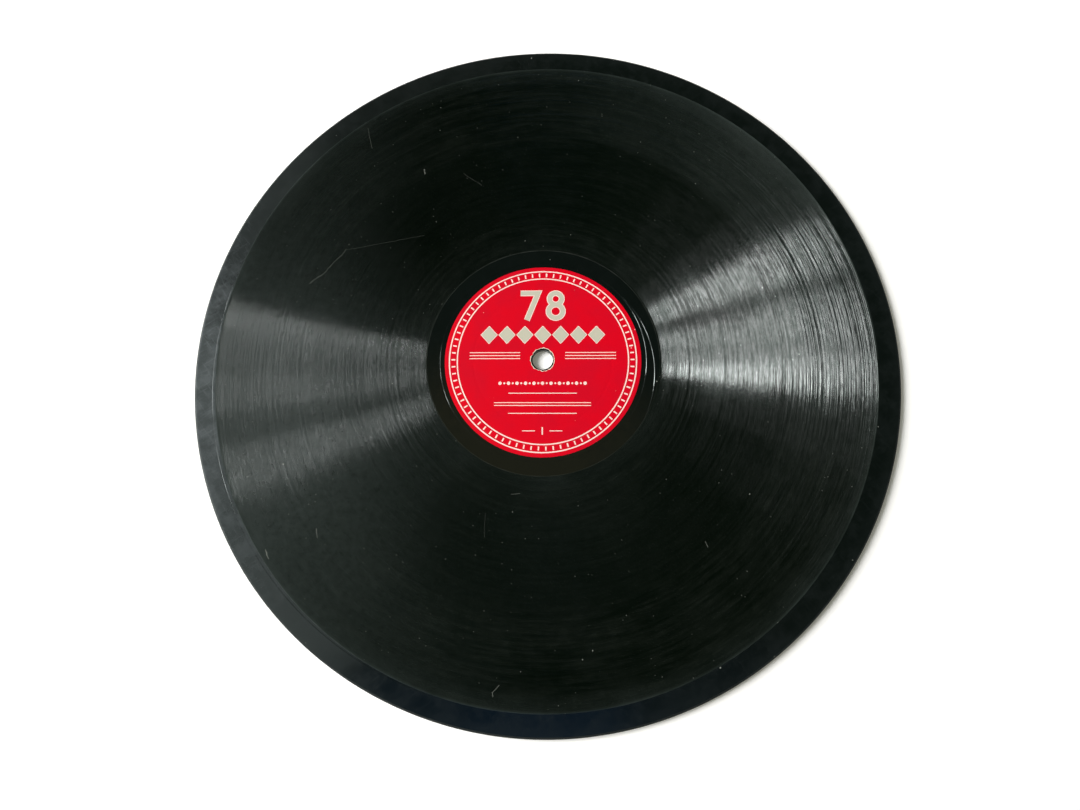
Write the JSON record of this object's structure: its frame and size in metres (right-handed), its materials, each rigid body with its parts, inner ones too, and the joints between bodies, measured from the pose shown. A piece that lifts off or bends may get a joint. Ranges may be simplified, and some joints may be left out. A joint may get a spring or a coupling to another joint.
{
  "type": "shellac record",
  "caption": "Flat round shellac record with a fine-grooved playing band on both sides, a smooth rim, a red paper label let into each side and a central spindle hole.",
  "frame": {"origin": "centre of the spindle hole on the plane that the lower side rests on", "axes": "+Z along the spindle hole, out of side A; the run-out groove of side A crosses +X"},
  "size_m": [0.25, 0.25, 0.0023],
  "materials": {
    "shellac": "pressed black shellac, mirror gloss on the rim and the label land, silky sheen on the grooves",
    "label_paper": "printed red label paper, pressed smooth"
  },
  "bodies": {
    "root": {"shellac_disc": "shellac", "label_side_a": "label_paper", "label_side_b": "label_paper"}
  },
  "joints": []
}
